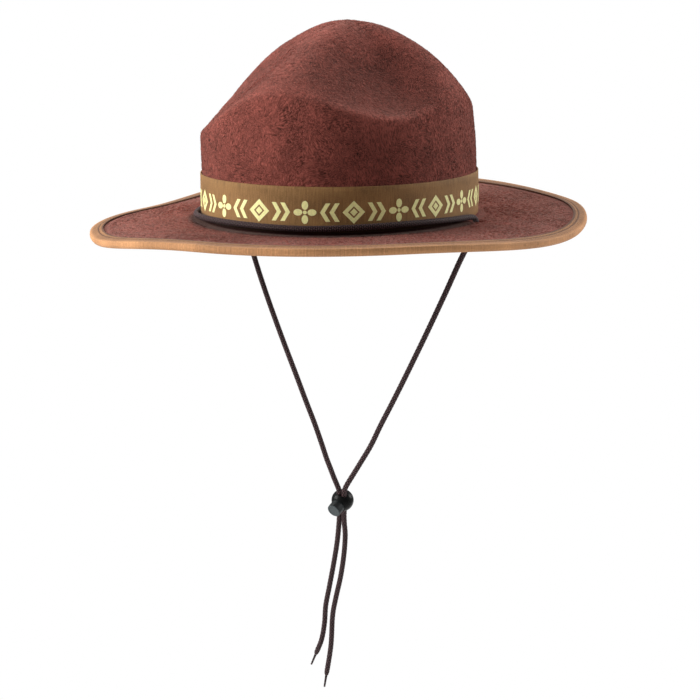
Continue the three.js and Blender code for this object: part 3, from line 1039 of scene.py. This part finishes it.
class HAT_OT_felt(bpy.types.Operator):
    """Makes the crown and brim in one smooth felt body"""
    bl_idname = "hat.felt"
    bl_label = "Felt body"

    def execute(self, context):
        felt = context.scene.hat_felt
        body = merged_copy("felt_body", "felt_shell")
        smooth(body, 2)
        lump_weights(body)
        lumps = bpy.data.textures.new("felt lumps", "CLOUDS")
        lumps.noise_scale = 0.035
        lumps.noise_depth = 2
        add_modifier(body, "Lumps", "DISPLACE", texture=lumps, texture_coords="LOCAL",
                     strength=felt.lumps * 2, mid_level=0.5, vertex_group="lumps")
        apply_modifiers(body)
        body.vertex_groups.clear()
        mark_ridges(body)
        foot_shade_group()
        finish_piece(body, felt_material(felt_group()), "hat")
        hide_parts("felt_body")
        return {"FINISHED"}


def nap_tree(fibre, density, seed):
    """Scatters fibres over a surface, lying flat and combed in slow swirls."""
    tree = bpy.data.node_groups.new("Scatter nap", "GeometryNodeTree")
    tree.interface.new_socket(name="Geometry", in_out="INPUT", socket_type="NodeSocketGeometry")
    tree.interface.new_socket(name="Geometry", in_out="OUTPUT", socket_type="NodeSocketGeometry")
    graph = Graph(tree)
    source = graph.add("NodeGroupInput")
    result = graph.add("NodeGroupOutput")
    points = graph.add("GeometryNodeDistributePointsOnFaces", {
        "Mesh": source.outputs[0], "Density": density, "Seed": seed})
    turn = graph.add("FunctionNodeRandomValue", data_type="FLOAT_VECTOR")
    turn.inputs["Min"].default_value = (-0.1, -0.2, -0.9)
    turn.inputs["Max"].default_value = (0.1, 0.2, 0.9)
    turn.inputs["Seed"].default_value = seed + 1
    flow = graph.vector("ADD", graph.swirl(4.5, {"Scale": 22.0}), (0.35, 0.2, -0.55))
    combed = graph.add("FunctionNodeAlignRotationToVector", {
        "Rotation": points.outputs["Rotation"], "Vector": flow},
        axis="X", pivot_axis="Z")
    spin = graph.add("FunctionNodeRotateRotation", {
        "Rotation": combed.outputs[0]}, rotation_space="LOCAL")
    as_turn = graph.add("FunctionNodeEulerToRotation", {"Euler": turn.outputs[0]})
    graph.put(spin.inputs["Rotate By"], as_turn.outputs[0])
    size = graph.add("FunctionNodeRandomValue", data_type="FLOAT")
    size.inputs[2].default_value = 0.5
    size.inputs[3].default_value = 1.35
    size.inputs["Seed"].default_value = seed + 2
    shape = graph.add("GeometryNodeObjectInfo", {"Object": fibre})
    placed = graph.add("GeometryNodeInstanceOnPoints", {
        "Points": points.outputs["Points"], "Instance": shape.outputs["Geometry"],
        "Rotation": spin.outputs[0], "Scale": size.outputs[1]})
    real = graph.add("GeometryNodeRealizeInstances", {0: placed.outputs[0]})
    graph.put(result.inputs[0], real.outputs[0])
    return tree


def fibre_shape():
    """One closed fibre: a slim three-sided spindle that lies along X."""
    felt = settings().hat_felt
    half = felt.fibre_length / 2
    width = felt.fibre_width / 2
    verts = [(-half, 0, 0), (half, 0, 0)]
    for side in range(3):
        angle = 2 * math.pi * side / 3
        verts.append((0, width * math.cos(angle), width * (math.sin(angle) + 1.2)))
    faces = []
    for side in range(3):
        after = (side + 1) % 3
        faces.append((0, 2 + after, 2 + side))
        faces.append((1, 2 + side, 2 + after))
    return add_mesh("fibre", verts, faces)


NAP_STEP = 0.2 * MM  # start of a look out of the felt or into it
NAP_LOOK = 4 * MM  # clear air outside the felt, and more than its wall
NAP_ABOVE_BAND = 1.5 * MM


def outer_faces(mesh, wanted):
    """The wanted faces of the felt's outer skin: open air outside, the wall inside."""
    tree = BVHTree.FromPolygons(
        [vertex.co for vertex in mesh.vertices], [tuple(face.vertices) for face in mesh.polygons])
    kept = {}
    for face in mesh.polygons:
        step = face.normal * NAP_STEP
        outside = tree.ray_cast(face.center + step, face.normal, NAP_LOOK)[0] is None
        inner = tree.ray_cast(face.center - step, -face.normal, NAP_LOOK)[0] is not None
        axis = Vector((0, 0, face.center.z - 40 * MM))
        if outside and inner and face.normal.dot(face.center - axis) > 0 and wanted(face):
            kept[face.index] = face.area
    return kept


class HAT_OT_nap(bpy.types.Operator):
    """Scatters the fine loose fibres over the crown and the brim"""
    bl_idname = "hat.nap"
    bl_label = "Felt nap"

    def execute(self, context):
        felt = context.scene.hat_felt
        body = bpy.data.objects["felt_shell"]
        band_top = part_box("hat_band")[1][2]
        half = box_size("brim_binding") / 2
        band_half = box_size("hat_band") / 2
        fibre = fibre_shape()
        material = nap_material()

        def on_crown(face):
            return face.center.z > band_top + NAP_ABOVE_BAND

        def on_brim(face):
            point = face.center
            reach = math.hypot(point.x / band_half.x, point.y / band_half.y)
            edge = math.hypot(point.x / half.x, point.y / half.y)
            return (face.normal.z > 0 and point.z < band_top and reach > 1.04
                    and edge < 0.925)

        rows = (("crown_nap", on_crown, 5), ("brim_nap", on_brim, 23))
        for name, wanted, seed in rows:
            piece = bare_copy(body, name)
            kept = outer_faces(piece.data, wanted)
            edit_selected(piece, "FACE", lambda face: face.index not in kept)
            bpy.ops.mesh.delete(type="FACE")
            object_mode()
            modifier = add_modifier(piece, "Nap", "NODES")
            modifier.node_group = nap_tree(fibre, felt.fibres / sum(kept.values()), seed)
            apply_modifiers(piece)
            finish_piece(piece, material, "hat")
        bpy.data.objects.remove(fibre)
        return {"FINISHED"}


# Ribbons


def oval_length_table(half_x, half_y, count=1440):
    """Length along an oval from the front, for evenly spaced angles."""
    table = [0.0]
    for index in range(count):
        a, b = (2 * math.pi * (index + k) / count for k in (0, 1))
        side = half_x * (math.sin(b) - math.sin(a))
        front = half_y * (math.cos(b) - math.cos(a))
        table.append(table[-1] + math.hypot(side, front))
    return table


def oval_angle(point, half_x, half_y):
    return math.atan2(point.x / half_x, -point.y / half_y) % (2 * math.pi)


def table_value(table, angle):
    place = angle / (2 * math.pi) * (len(table) - 1)
    index = min(int(place), len(table) - 2)
    return table[index] + (table[index + 1] - table[index]) * (place - index)


def oval_angle_at(table, length):
    """The angle at which the oval's length from the front reaches a value."""
    low, high = 0, len(table) - 1
    while high - low > 1:
        middle = (low + high) // 2
        if table[middle] <= length:
            low = middle
        else:
            high = middle
    share = (length - table[low]) / (table[high] - table[low])
    return 2 * math.pi * (low + share) / (len(table) - 1)


def map_ribbon(piece, half_x, half_y, across):
    """A UV map in millimetres: length round the hat and distance across the ribbon."""
    table = oval_length_table(half_x, half_y)
    total = table[-1]
    mesh = piece.data
    layer = mesh.uv_layers.new(name="ribbon")
    values = [0.0] * (2 * len(mesh.loops))
    for face in mesh.polygons:
        angles = [oval_angle(mesh.vertices[i].co, half_x, half_y) for i in face.vertices]
        wraps = max(angles) - min(angles) > math.pi
        for loop, vertex, angle in zip(face.loop_indices, face.vertices, angles):
            length = table_value(table, angle)
            if wraps and angle < math.pi:
                length += total
            values[2 * loop] = length / MM
            values[2 * loop + 1] = across(mesh.vertices[vertex].co) / MM
    layer.data.foreach_set("uv", values)


def edge_distance(half):
    """How far a point lies inside the edge of the binding."""
    def across(point):
        side, front = point.x / half.x, point.y / half.y
        reach = math.hypot(side, front)
        return (1 - reach) * reach * reach / (side * side / half.x + front * front / half.y)
    return across


def press_groove(piece, across):
    """Pulls the ribbon in where it is sewn, on both sides of the brim."""
    ribbon = settings().hat_ribbon
    sewn = ribbon.binding_width - ribbon.stitch_inset
    normals = [vertex.normal.copy() for vertex in piece.data.vertices]
    for vertex, normal in zip(piece.data.vertices, normals):
        off = (across(vertex.co) - sewn) / ribbon.groove_width
        vertex.co -= normal * (ribbon.groove_depth * math.exp(-off * off))


STITCH_SHARE = 0.72  # of the pitch
STITCH_WIDTH = 0.42 * MM
STITCH_HEIGHT = 0.3 * MM
STITCH_LIFT = 0.04 * MM
CLEAR_OF_BRIM = 60 * MM  # height from which the ribbon is looked for


def stitch_shape():
    """One stitch: a short thread with round ends, along X."""
    bpy.ops.mesh.primitive_uv_sphere_add(segments=8, ring_count=6, radius=0.5)
    stitch = added("stitch")
    length = settings().hat_ribbon.stitch_pitch * STITCH_SHARE
    stitch.scale = (length, STITCH_WIDTH, STITCH_HEIGHT)
    apply_place(stitch)
    return stitch


def sew(name, binding, half):
    """A row of stitches in the groove on each side of the binding."""
    ribbon = settings().hat_ribbon
    stitch = stitch_shape()
    tree = BVHTree.FromObject(binding, bpy.context.evaluated_depsgraph_get())
    inset = ribbon.binding_width - ribbon.stitch_inset
    half_x, half_y = half.x - inset, half.y - inset
    table = oval_length_table(half_x, half_y)
    count = round(table[-1] / ribbon.stitch_pitch)
    shape = [vertex.co.copy() for vertex in stitch.data.vertices]
    shape_faces = [tuple(face.vertices) for face in stitch.data.polygons]
    verts = []
    faces = []
    angle_step = 0
    for index in range(count):
        while table[angle_step + 1] < table[-1] * index / count:
            angle_step += 1
        angle = 2 * math.pi * angle_step / (len(table) - 1)
        spot = Vector((half_x * math.sin(angle), -half_y * math.cos(angle), 0))
        along = Vector((half_x * math.cos(angle), half_y * math.sin(angle), 0)).normalized()
        for way in (1, -1):
            start = spot + Vector((0, 0, way * CLEAR_OF_BRIM))
            hit, normal, _, _ = tree.ray_cast(start, Vector((0, 0, -way)))
            if hit is None:
                raise RuntimeError("a stitch missed the binding")
            ahead = (along - normal * along.dot(normal)).normalized()
            side = normal.cross(ahead)
            first = len(verts)
            verts.extend(
                hit + ahead * v.x + side * v.y + normal * (v.z + STITCH_LIFT) for v in shape)
            faces.extend(tuple(first + i for i in face) for face in shape_faces)
    bpy.data.objects.remove(stitch)
    return add_mesh(name, verts, faces)


def thread_material():
    material, graph, shader = new_material("sewing thread")
    place = graph.place()
    shade = graph.spread(graph.noise(place, 900.0, 2.0), 0.3, 0.7)
    dark = rgba(settings().hat_ribbon.binding_colour, 0.35)
    light = rgba(settings().hat_ribbon.binding_colour, 0.62)
    graph.put(shader.inputs["Base Color"], graph.mix(shade, dark, light))
    graph.put(shader.inputs["Normal"], bump(graph, graph.noise(place, 2600.0, 2.0), 0.05 * MM, 0.5))
    shader.inputs["Roughness"].default_value = 0.7
    return material


def rounded_ribbon(node, name, levels):
    piece = merged_copy(node, name)
    crease_sharp_edges(piece, math.radians(60))
    smooth(piece, levels)
    return piece, box_size(node) / 2


class HAT_OT_binding(bpy.types.Operator):
    """Makes the ribbon folded over the edge of the brim, with its sewn groove"""
    bl_idname = "hat.binding"
    bl_label = "Brim binding"

    def execute(self, context):
        ribbon = context.scene.hat_ribbon
        piece, half = rounded_ribbon("brim_binding", "binding_ribbon", 3)
        across = edge_distance(half)
        press_groove(piece, across)
        map_ribbon(piece, half.x, half.y, across)
        ribbon_group()
        material = ribbon_material(
            "tan ribbon", binding_painted_light, ribbon.binding_colour, 0.75, 0.6, 0.16 * MM)
        finish_piece(piece, material, "hat")
        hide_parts("brim_binding")
        stitches = sew("binding_stitches", piece, half)
        finish_piece(stitches, thread_material(), "hat")
        return {"FINISHED"}


class HAT_OT_band(bpy.types.Operator):
    """Makes the ribbon band round the foot of the crown"""
    bl_idname = "hat.band"
    bl_label = "Ribbon band"

    def execute(self, context):
        ribbon = context.scene.hat_ribbon
        piece, half = rounded_ribbon("hat_band", "band_ribbon", 2)
        map_ribbon(piece, half.x, half.y, lambda point: point.z)
        material = ribbon_material(
            "brown ribbon", foot_shade, ribbon.band_colour, 0.85, 0.7, 0.14 * MM)
        finish_piece(piece, material, "hat")
        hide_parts("hat_band")
        return {"FINISHED"}


# Printed border


def flat_lozenge(place, radius):
    bpy.ops.mesh.primitive_circle_add(
        vertices=4, radius=radius, fill_type="NGON", location=(place, 0, 0))
    return added("lozenge")


def open_middle(shape, thickness):
    """Leaves only a frame of a flat shape."""
    edit_selected(shape, "FACE", lambda face: True)
    bpy.ops.mesh.inset(thickness=thickness, depth=0)
    bpy.ops.mesh.delete(type="FACE")
    object_mode()


def flat_petals(place, radius):
    """Four petals and a dot."""
    pieces = []
    for quarter in range(4):
        angle = quarter * math.pi / 2
        bpy.ops.mesh.primitive_circle_add(
            vertices=20, radius=radius * 0.39, fill_type="NGON", rotation=(0, 0, angle),
            location=(place + radius * 0.61 * math.cos(angle), radius * 0.61 * math.sin(angle), 0))
        petal = added("petal")
        petal.scale = (1.0, 0.74, 1.0)
        pieces.append(petal)
    bpy.ops.mesh.primitive_circle_add(
        vertices=16, radius=radius * 0.17, fill_type="NGON", location=(place, 0, 0))
    return pieces + [added("dot")]


def flat_chevron(place, height, stroke, way):
    """A slanted bar, bent in its middle to point along the ribbon."""
    bpy.ops.mesh.primitive_grid_add(x_subdivisions=1, y_subdivisions=2, size=1)
    chevron = added("chevron")
    chevron.scale = (stroke * 1.2, height, 1)
    chevron.location = (place, 0, 0)
    apply_place(chevron)
    edit_selected(chevron, "VERT", lambda point: abs(point.co.y) < height / 4)
    bpy.ops.transform.translate(value=(way * height * 0.3, 0, 0))
    object_mode()
    return chevron


def flat_border():
    """One repeat of the border, flat: a lozenge, chevrons, four petals, chevrons."""
    ribbon = settings().hat_ribbon
    radius = ribbon.print_height / 2
    pitch = ribbon.motif_pitch
    frame_shape = flat_lozenge(0, radius)
    open_middle(frame_shape, ribbon.stroke)
    pieces = [frame_shape, flat_lozenge(0, ribbon.stroke)]
    pieces += flat_petals(pitch / 2, radius)
    for way in (1, -1):
        for share in (0.17, 0.265):
            middle = pitch * share if way > 0 else pitch * (1 - share)
            pieces.append(flat_chevron(middle, ribbon.print_height * 0.8, ribbon.stroke, way))
    pick(*pieces)
    bpy.ops.object.transform_apply(location=True, rotation=True, scale=True)
    bpy.ops.object.join()
    border = added("band_print")
    edit_all(border)
    bpy.ops.mesh.subdivide(number_cuts=3)
    object_mode()
    return border


class HAT_OT_print(bpy.types.Operator):
    """Prints a plain border of lozenges, petals and chevrons on the band"""
    bl_idname = "hat.print_border"
    bl_label = "Printed border"

    def execute(self, context):
        ribbon = context.scene.hat_ribbon
        half = box_size("hat_band") / 2
        table = oval_length_table(half.x, half.y)
        count = round(table[-1] / ribbon.motif_pitch)
        border = flat_border()
        add_modifier(border, "Repeats", "ARRAY", count=count, use_relative_offset=False,
                     use_constant_offset=True,
                     constant_offset_displace=(ribbon.motif_pitch, 0, 0))
        apply_modifiers(border)
        stretch = table[-1] / (count * ribbon.motif_pitch)
        for vertex in border.data.vertices:
            length = vertex.co.x * stretch % table[-1]
            angle = oval_angle_at(table, length)
            vertex.co = (
                (half.x + 0.5 * MM) * math.sin(angle), -(half.y + 0.5 * MM) * math.cos(angle),
                ribbon.print_middle + vertex.co.y)
        add_modifier(border, "On the band", "SHRINKWRAP", target=bpy.data.objects["band_ribbon"],
                     wrap_mode="ABOVE_SURFACE", offset=0.06 * MM)
        add_modifier(border, "Ink", "SOLIDIFY", thickness=ribbon.print_thickness, offset=1.0)
        apply_modifiers(border)
        finish_piece(border, print_material(), "hat", math.radians(40))
        return {"FINISHED"}


# Stage


CAMERA_RIGHT = Vector((0.8731, 0.4876, 0.0035))
CAMERA_UP = Vector((-0.1091, 0.1883, 0.976))


class HAT_OT_stage(bpy.types.Operator):
    """Adds the camera, a plain pale floor and soft studio light"""
    bl_idname = "hat.stage"
    bl_label = "Stage"

    def execute(self, context):
        stage = context.scene.hat_stage
        turn = Matrix((
            CAMERA_RIGHT, CAMERA_UP, CAMERA_RIGHT.cross(CAMERA_UP))).transposed()
        bpy.ops.object.camera_add(location=stage.camera_place, rotation=turn.to_euler())
        camera = bpy.context.active_object
        camera.data.lens = stage.lens
        camera.data.sensor_width = 36
        camera.data.clip_start = 0.01
        camera.data.clip_end = 200
        context.scene.camera = camera

        bpy.ops.mesh.primitive_circle_add(
            vertices=96, radius=40, fill_type="NGON", location=(0, 0, -stage.floor_drop))
        floor = added("floor")
        material, ground, shader = new_material("pale floor")
        shader.inputs["Base Color"].default_value = (0.9, 0.9, 0.9, 1)
        shader.inputs["Roughness"].default_value = 0.9
        bright = ground.add("ShaderNodeEmission", {"Color": (1, 1, 1, 1), "Strength": 1.0})
        seen = ground.add("ShaderNodeLightPath")
        both = ground.add("ShaderNodeMixShader", {
            0: seen.outputs["Is Camera Ray"], 1: shader.outputs[0], 2: bright.outputs[0]})
        ground.put(material.node_tree.nodes["Material Output"].inputs[0], both.outputs[0])
        floor.data.materials.append(material)

        lights = (
            ("key light", (-1.4, -1.0, 0.65), 1.0, 46.0, (1.0, 0.98, 0.96)),
            ("fill light", (-0.3, -1.7, 0.1), 1.3, 3.0, (1.0, 0.98, 0.96)),
            ("top light", (-0.6, 0.8, 1.6), 1.5, 31.0, (1.0, 0.98, 0.96)),
            ("rim light", (1.2, 1.5, 0.6), 0.8, 27.0, (1.0, 0.98, 0.97)),
        )
        for name, place, size, power, colour in lights:
            aim = (Vector((0, 0, 0.02)) - Vector(place)).to_track_quat("-Z", "Y")
            bpy.ops.object.light_add(type="AREA", location=place, rotation=aim.to_euler())
            light = bpy.context.active_object
            light.name = name
            light.data.size = size
            light.data.energy = power
            light.data.color = colour

        world = bpy.data.worlds.new("studio")
        context.scene.world = world
        world.use_nodes = True
        graph = Graph(world.node_tree)
        shown = world.node_tree.nodes["Background"]
        shown.inputs["Color"].default_value = (1, 1, 1, 1)
        shown.inputs["Strength"].default_value = 1.0
        lit = graph.add("ShaderNodeBackground", {"Color": (1, 1, 1, 1), "Strength": 0.34})
        ray = graph.add("ShaderNodeLightPath")
        mixed = graph.add("ShaderNodeMixShader", {
            0: ray.outputs["Is Camera Ray"], 1: lit.outputs[0], 2: shown.outputs[0]})
        graph.put(world.node_tree.nodes["World Output"].inputs[0], mixed.outputs[0])
        context.scene.view_settings.view_transform = "Standard"
        return {"FINISHED"}


class HAT_PT_panel(bpy.types.Panel):
    """Lists the pieces of the hat"""
    bl_idname = "HAT_PT_panel"
    bl_label = "Campaign hat"
    bl_space_type = "VIEW_3D"
    bl_region_type = "UI"
    bl_category = "Hat"

    def draw(self, context):
        for operator in OPERATORS:
            self.layout.operator(operator.bl_idname)


PROPERTIES = {
    "hat_felt": FeltSettings,
    "hat_ribbon": RibbonSettings,
    "hat_cord": CordSettings,
    "hat_lock": LockSettings,
    "hat_stage": StageSettings,
}
OPERATORS = (
    HAT_OT_stage, HAT_OT_cord_lock, HAT_OT_chin_cord, HAT_OT_felt, HAT_OT_binding,
    HAT_OT_band, HAT_OT_print, HAT_OT_nap,
)


def register():
    for name, group in PROPERTIES.items():
        bpy.utils.register_class(group)
        setattr(bpy.types.Scene, name, bpy.props.PointerProperty(type=group))
    for operator in OPERATORS:
        bpy.utils.register_class(operator)
    bpy.utils.register_class(HAT_PT_panel)


def unregister():
    bpy.utils.unregister_class(HAT_PT_panel)
    for operator in reversed(OPERATORS):
        bpy.utils.unregister_class(operator)
    for name, group in PROPERTIES.items():
        delattr(bpy.types.Scene, name)
        bpy.utils.unregister_class(group)


def main():
    register()
    for operator in OPERATORS:
        group, name = operator.bl_idname.split(".")
        getattr(getattr(bpy.ops, group), name)()


if __name__ == "__main__":
    main()
